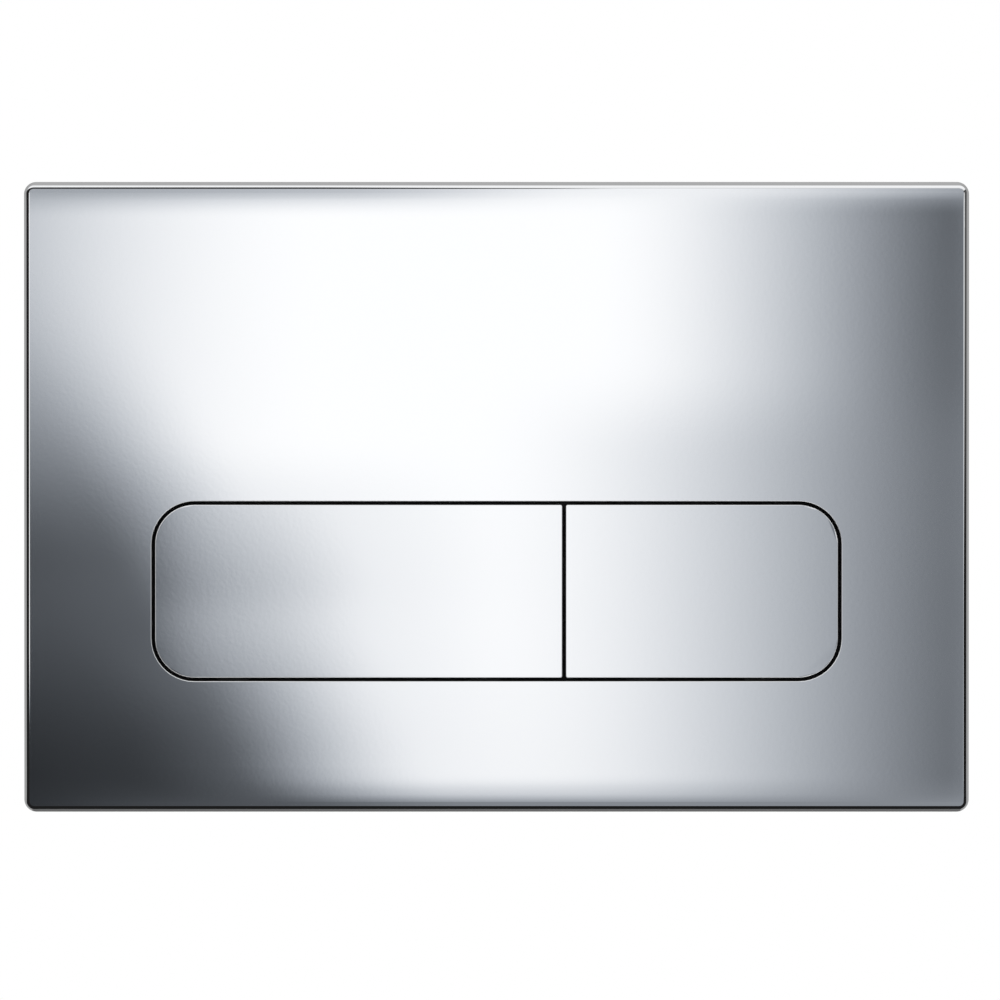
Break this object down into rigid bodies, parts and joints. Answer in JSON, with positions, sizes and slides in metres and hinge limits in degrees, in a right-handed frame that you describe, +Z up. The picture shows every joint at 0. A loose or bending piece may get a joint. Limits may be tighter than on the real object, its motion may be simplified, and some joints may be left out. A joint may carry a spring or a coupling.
{
  "type": "flush button plate",
  "caption": "Rectangular chromed flush plate for a concealed cistern, with a wide and a narrow hinged button, rear carrier, sprung push rods and a wall frame.",
  "frame": {"origin": "centre of the plate on the wall plane, midway between the two wall screws", "axes": "+X to the right along the plate's long side, +Y into the wall, +Z up; the face looks along -Y"},
  "size_m": [0.246, 0.0737, 0.164],
  "materials": {
    "chrome": "bright chrome on moulded plastic",
    "button_chrome": "bright chrome on moulded plastic",
    "black_plastic": "fine moulded texture",
    "grey_plastic": "fine moulded texture",
    "rod_plastic": "smooth moulded",
    "guide_plastic": "smooth moulded",
    "zinc_steel": "zinc plated",
    "pin_steel": "ground",
    "spring_steel": "drawn wire",
    "rubber": "soft matt"
  },
  "bodies": {
    "plate": {"front_plate": "chrome", "button_carrier": "black_plastic", "carrier_screws": "zinc_steel", "mounting_frame": "grey_plastic", "fixing_screws": "zinc_steel", "fixing_washers": "zinc_steel", "large_hinge_pin": "pin_steel", "large_stop_pads": "rubber", "large_rod_guide": "guide_plastic", "large_return_spring": "spring_steel", "small_hinge_pin": "pin_steel", "small_stop_pads": "rubber", "small_rod_guide": "guide_plastic", "small_return_spring": "spring_steel"},
    "large_button": {"large_button": "button_chrome"},
    "large_rod": {"large_push_rod": "rod_plastic", "large_rod_nut": "guide_plastic", "large_rod_tip": "rod_plastic"},
    "small_button": {"small_button": "button_chrome"},
    "small_rod": {"small_push_rod": "rod_plastic", "small_rod_nut": "guide_plastic", "small_rod_tip": "rod_plastic"}
  },
  "joints": [
    {"name": "large_press", "type": "hinge", "parent": "plate", "child": "large_button", "pos_m": [0, -0.005, -0.0065], "axis": [1, 0, 0], "range_deg": [0, 7], "stiffness_Nm_per_rad": 1.2, "springref_deg": -8.59},
    {"name": "large_rod_slide", "type": "slide", "parent": "plate", "child": "large_rod", "axis": [0, 1, 0], "range_m": [0, 0.0042], "deforming": ["large_return_spring"]},
    {"name": "small_press", "type": "hinge", "parent": "plate", "child": "small_button", "pos_m": [0, -0.005, -0.0065], "axis": [1, 0, 0], "range_deg": [0, 7], "stiffness_Nm_per_rad": 1.2, "springref_deg": -8.59},
    {"name": "small_rod_slide", "type": "slide", "parent": "plate", "child": "small_rod", "axis": [0, 1, 0], "range_m": [0, 0.0042], "deforming": ["small_return_spring"]}
  ],
  "couplings": [
    {"joint": "large_rod_slide", "follows": "large_press", "m_per_rad": 0.034},
    {"joint": "small_rod_slide", "follows": "small_press", "m_per_rad": 0.034}
  ]
}
